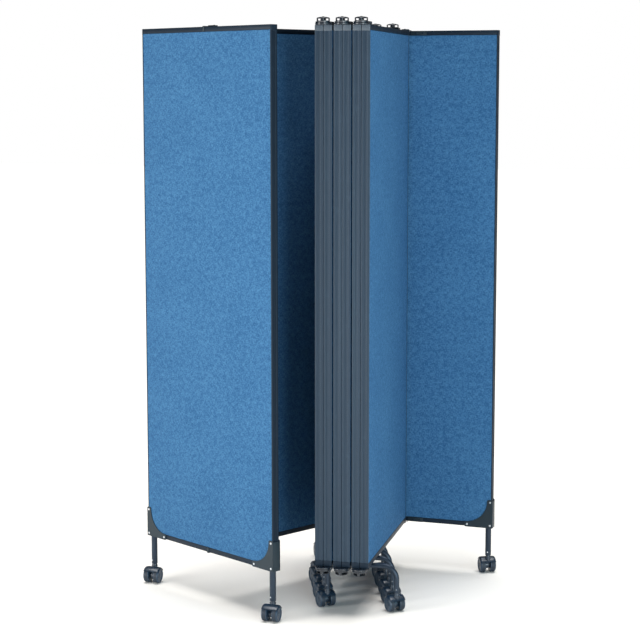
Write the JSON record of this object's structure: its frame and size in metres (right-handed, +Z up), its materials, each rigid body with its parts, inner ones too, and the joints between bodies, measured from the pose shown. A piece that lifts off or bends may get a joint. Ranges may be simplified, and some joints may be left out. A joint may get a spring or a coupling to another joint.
{
  "type": "folding ward privacy screen",
  "caption": "Folding ward privacy screen of blue fabric panels in metal frames on twin-wheel casters, half packed, with crosswise end panels.",
  "frame": {"origin": "on the floor, under the middle of the bounding box of the stored pose", "axes": "+Z up; the folded stack of panels runs along Y with its front end towards -Y, and the panels are stacked along X"},
  "size_m": [1.1314, 0.8426, 1.8548],
  "materials": {
    "fabric": "woven heather upholstery fabric, matt",
    "frame": "satin slate grey coated profile",
    "tube": "satin dark grey coated tube and plate",
    "bracket": "satin dark grey coated plate",
    "housing": "smooth dark blue-grey moulding",
    "wheel": "matt dark blue-grey moulding"
  },
  "bodies": {
    "panel_1": {"panel_1_board": "fabric", "panel_1_frame": "frame", "panel_1_leg_left": "tube", "panel_1_leg_right": "tube", "panel_1_tee_bracket_bottom": "bracket", "panel_1_tee_bracket_top": "bracket"},
    "panel_2": {"panel_2_board": "fabric", "panel_2_frame": "frame"},
    "panel_3": {"panel_3_board": "fabric", "panel_3_foot": "tube", "panel_3_frame": "frame"},
    "panel_4": {"panel_4_board": "fabric", "panel_4_foot": "tube", "panel_4_frame": "frame"},
    "panel_5": {"panel_5_board": "fabric", "panel_5_foot": "tube", "panel_5_frame": "frame"},
    "panel_6": {"panel_6_board": "fabric", "panel_6_foot": "tube", "panel_6_frame": "frame"},
    "panel_7": {"panel_7_board": "fabric", "panel_7_foot": "tube", "panel_7_frame": "frame"},
    "panel_8": {"panel_8_board": "fabric", "panel_8_frame": "frame"},
    "panel_9": {"panel_9_board": "fabric", "panel_9_frame": "frame", "panel_9_leg_left": "tube", "panel_9_leg_right": "tube", "panel_9_tee_bracket_bottom": "bracket", "panel_9_tee_bracket_top": "bracket"},
    "caster_panel_1_left_swivel": {"caster_panel_1_left_housing": "housing"},
    "caster_panel_1_left_wheels": {"caster_panel_1_left_wheels": "wheel"},
    "caster_panel_1_right_swivel": {"caster_panel_1_right_housing": "housing"},
    "caster_panel_1_right_wheels": {"caster_panel_1_right_wheels": "wheel"},
    "caster_panel_3_left_swivel": {"caster_panel_3_left_housing": "housing"},
    "caster_panel_3_left_wheels": {"caster_panel_3_left_wheels": "wheel"},
    "caster_panel_3_right_swivel": {"caster_panel_3_right_housing": "housing"},
    "caster_panel_3_right_wheels": {"caster_panel_3_right_wheels": "wheel"},
    "caster_panel_4_left_swivel": {"caster_panel_4_left_housing": "housing"},
    "caster_panel_4_left_wheels": {"caster_panel_4_left_wheels": "wheel"},
    "caster_panel_4_right_swivel": {"caster_panel_4_right_housing": "housing"},
    "caster_panel_4_right_wheels": {"caster_panel_4_right_wheels": "wheel"},
    "caster_panel_5_left_swivel": {"caster_panel_5_left_housing": "housing"},
    "caster_panel_5_left_wheels": {"caster_panel_5_left_wheels": "wheel"},
    "caster_panel_5_right_swivel": {"caster_panel_5_right_housing": "housing"},
    "caster_panel_5_right_wheels": {"caster_panel_5_right_wheels": "wheel"},
    "caster_panel_6_left_swivel": {"caster_panel_6_left_housing": "housing"},
    "caster_panel_6_left_wheels": {"caster_panel_6_left_wheels": "wheel"},
    "caster_panel_6_right_swivel": {"caster_panel_6_right_housing": "housing"},
    "caster_panel_6_right_wheels": {"caster_panel_6_right_wheels": "wheel"},
    "caster_panel_7_left_swivel": {"caster_panel_7_left_housing": "housing"},
    "caster_panel_7_left_wheels": {"caster_panel_7_left_wheels": "wheel"},
    "caster_panel_7_right_swivel": {"caster_panel_7_right_housing": "housing"},
    "caster_panel_7_right_wheels": {"caster_panel_7_right_wheels": "wheel"},
    "caster_panel_9_left_swivel": {"caster_panel_9_left_housing": "housing"},
    "caster_panel_9_left_wheels": {"caster_panel_9_left_wheels": "wheel"},
    "caster_panel_9_right_swivel": {"caster_panel_9_right_housing": "housing"},
    "caster_panel_9_right_wheels": {"caster_panel_9_right_wheels": "wheel"}
  },
  "joints": [
    {"name": "fold_5_6", "type": "hinge", "parent": "panel_5", "child": "panel_6", "pos_m": [0.16425, -0.30438, 1.83], "axis": [0, 0, -1], "range_deg": [0, 180]},
    {"name": "fold_6_7", "type": "hinge", "parent": "panel_6", "child": "panel_7", "pos_m": [0.1935, 0.32362, 1.83], "axis": [0, 0, 1], "range_deg": [0, 180]},
    {"name": "fold_7_8", "type": "hinge", "parent": "panel_7", "child": "panel_8", "pos_m": [0.22275, -0.30438, 1.83], "axis": [0, 0, -1], "range_deg": [0, 180]},
    {"name": "fold_4_5", "type": "hinge", "parent": "panel_5", "child": "panel_4", "pos_m": [0.135, 0.32362, 1.83], "axis": [0, 0, -1], "range_deg": [0, 180]},
    {"name": "fold_3_4", "type": "hinge", "parent": "panel_4", "child": "panel_3", "pos_m": [0.10575, -0.30438, 1.83], "axis": [0, 0, 1], "range_deg": [0, 180]},
    {"name": "fold_2_3", "type": "hinge", "parent": "panel_3", "child": "panel_2", "pos_m": [0.0765, 0.32362, 1.83], "axis": [0, 0, -1], "range_deg": [-32.5, 147.5]},
    {"name": "tee_left", "type": "hinge", "parent": "panel_2", "child": "panel_1", "pos_m": [-0.26997, -0.19138, 1.83], "axis": [0, 0, 1], "range_deg": [-80, 30]},
    {"name": "tee_right", "type": "hinge", "parent": "panel_8", "child": "panel_9", "pos_m": [0.2365, 0.31612, 1.83], "axis": [0, 0, 1], "range_deg": [-80, 3]},
    {"name": "caster_panel_1_left_swivel", "type": "hinge", "parent": "panel_1", "child": "caster_panel_1_left_swivel", "pos_m": [-0.53514, -0.05127, 0.062], "axis": [0, 0, 1], "continuous": true},
    {"name": "caster_panel_1_left_axle", "type": "hinge", "parent": "caster_panel_1_left_swivel", "child": "caster_panel_1_left_wheels", "pos_m": [-0.53645, -0.06521, 0.025], "axis": [-0.9956, 0.0941, 0], "continuous": true},
    {"name": "caster_panel_1_right_swivel", "type": "hinge", "parent": "panel_1", "child": "caster_panel_1_right_swivel", "pos_m": [-0.03673, -0.37991, 0.062], "axis": [0, 0, 1], "continuous": true},
    {"name": "caster_panel_1_right_axle", "type": "hinge", "parent": "caster_panel_1_right_swivel", "child": "caster_panel_1_right_wheels", "pos_m": [-0.03805, -0.39385, 0.025], "axis": [-0.9956, 0.0941, 0], "continuous": true},
    {"name": "caster_panel_3_left_swivel", "type": "hinge", "parent": "panel_3", "child": "caster_panel_3_left_swivel", "pos_m": [-0.0205, 0.15612, 0.062], "axis": [0, 0, 1], "continuous": true},
    {"name": "caster_panel_3_left_axle", "type": "hinge", "parent": "caster_panel_3_left_swivel", "child": "caster_panel_3_left_wheels", "pos_m": [-0.01208, 0.14494, 0.025], "axis": [-0.7986, -0.6018, 0], "continuous": true},
    {"name": "caster_panel_3_right_swivel", "type": "hinge", "parent": "panel_3", "child": "caster_panel_3_right_swivel", "pos_m": [0.2045, 0.15612, 0.062], "axis": [0, 0, 1], "continuous": true},
    {"name": "caster_panel_3_right_axle", "type": "hinge", "parent": "caster_panel_3_right_swivel", "child": "caster_panel_3_right_wheels", "pos_m": [0.19607, 0.1673, 0.025], "axis": [0.7986, 0.6018, 0], "continuous": true},
    {"name": "caster_panel_4_left_swivel", "type": "hinge", "parent": "panel_4", "child": "caster_panel_4_left_swivel", "pos_m": [0.007, 0.06512, 0.062], "axis": [0, 0, 1], "continuous": true},
    {"name": "caster_panel_4_left_axle", "type": "hinge", "parent": "caster_panel_4_left_swivel", "child": "caster_panel_4_left_wheels", "pos_m": [-0.00143, 0.0763, 0.025], "axis": [0.7986, 0.6018, 0], "continuous": true},
    {"name": "caster_panel_4_right_swivel", "type": "hinge", "parent": "panel_4", "child": "caster_panel_4_right_swivel", "pos_m": [0.232, 0.06512, 0.062], "axis": [0, 0, 1], "continuous": true},
    {"name": "caster_panel_4_right_axle", "type": "hinge", "parent": "caster_panel_4_right_swivel", "child": "caster_panel_4_right_wheels", "pos_m": [0.22357, 0.0763, 0.025], "axis": [0.7986, 0.6018, 0], "continuous": true},
    {"name": "caster_panel_5_left_swivel", "type": "hinge", "parent": "panel_5", "child": "caster_panel_5_left_swivel", "pos_m": [0.038, -0.02588, 0.062], "axis": [0, 0, 1], "continuous": true},
    {"name": "caster_panel_5_left_axle", "type": "hinge", "parent": "caster_panel_5_left_swivel", "child": "caster_panel_5_left_wheels", "pos_m": [0.02957, -0.0147, 0.025], "axis": [0.7986, 0.6018, 0], "continuous": true},
    {"name": "caster_panel_5_right_swivel", "type": "hinge", "parent": "panel_5", "child": "caster_panel_5_right_swivel", "pos_m": [0.263, -0.02588, 0.062], "axis": [0, 0, 1], "continuous": true},
    {"name": "caster_panel_5_right_axle", "type": "hinge", "parent": "caster_panel_5_right_swivel", "child": "caster_panel_5_right_wheels", "pos_m": [0.25457, -0.0147, 0.025], "axis": [0.7986, 0.6018, 0], "continuous": true},
    {"name": "caster_panel_6_left_swivel", "type": "hinge", "parent": "panel_6", "child": "caster_panel_6_left_swivel", "pos_m": [0.0655, -0.11688, 0.062], "axis": [0, 0, 1], "continuous": true},
    {"name": "caster_panel_6_left_axle", "type": "hinge", "parent": "caster_panel_6_left_swivel", "child": "caster_panel_6_left_wheels", "pos_m": [0.05707, -0.1057, 0.025], "axis": [0.7986, 0.6018, 0], "continuous": true},
    {"name": "caster_panel_6_right_swivel", "type": "hinge", "parent": "panel_6", "child": "caster_panel_6_right_swivel", "pos_m": [0.2905, -0.11688, 0.062], "axis": [0, 0, 1], "continuous": true},
    {"name": "caster_panel_6_right_axle", "type": "hinge", "parent": "caster_panel_6_right_swivel", "child": "caster_panel_6_right_wheels", "pos_m": [0.28207, -0.1057, 0.025], "axis": [0.7986, 0.6018, 0], "continuous": true},
    {"name": "caster_panel_7_left_swivel", "type": "hinge", "parent": "panel_7", "child": "caster_panel_7_left_swivel", "pos_m": [0.0965, -0.20788, 0.062], "axis": [0, 0, 1], "continuous": true},
    {"name": "caster_panel_7_left_axle", "type": "hinge", "parent": "caster_panel_7_left_swivel", "child": "caster_panel_7_left_wheels", "pos_m": [0.08807, -0.1967, 0.025], "axis": [0.7986, 0.6018, 0], "continuous": true},
    {"name": "caster_panel_7_right_swivel", "type": "hinge", "parent": "panel_7", "child": "caster_panel_7_right_swivel", "pos_m": [0.3215, -0.20788, 0.062], "axis": [0, 0, 1], "continuous": true},
    {"name": "caster_panel_7_right_axle", "type": "hinge", "parent": "caster_panel_7_right_swivel", "child": "caster_panel_7_right_wheels", "pos_m": [0.31307, -0.1967, 0.025], "axis": [0.7986, 0.6018, 0], "continuous": true},
    {"name": "caster_panel_9_left_swivel", "type": "hinge", "parent": "panel_9", "child": "caster_panel_9_left_swivel", "pos_m": [-0.05765, 0.37462, 0.062], "axis": [0, 0, 1], "continuous": true},
    {"name": "caster_panel_9_left_axle", "type": "hinge", "parent": "caster_panel_9_left_swivel", "child": "caster_panel_9_left_wheels", "pos_m": [-0.06341, 0.38738, 0.025], "axis": [0.9114, 0.4115, 0], "continuous": true},
    {"name": "caster_panel_9_right_swivel", "type": "hinge", "parent": "panel_9", "child": "caster_panel_9_right_swivel", "pos_m": [0.5364, 0.31533, 0.062], "axis": [0, 0, 1], "continuous": true},
    {"name": "caster_panel_9_right_axle", "type": "hinge", "parent": "caster_panel_9_right_swivel", "child": "caster_panel_9_right_wheels", "pos_m": [0.53064, 0.32809, 0.025], "axis": [0.9114, 0.4115, 0], "continuous": true}
  ],
  "couplings": [
    {"joint": "fold_6_7", "follows": "fold_5_6", "ratio": 1},
    {"joint": "fold_7_8", "follows": "fold_5_6", "ratio": 1},
    {"joint": "fold_4_5", "follows": "fold_5_6", "ratio": 1},
    {"joint": "fold_3_4", "follows": "fold_5_6", "ratio": 1},
    {"joint": "fold_2_3", "follows": "fold_5_6", "ratio": 0.81944}
  ]
}
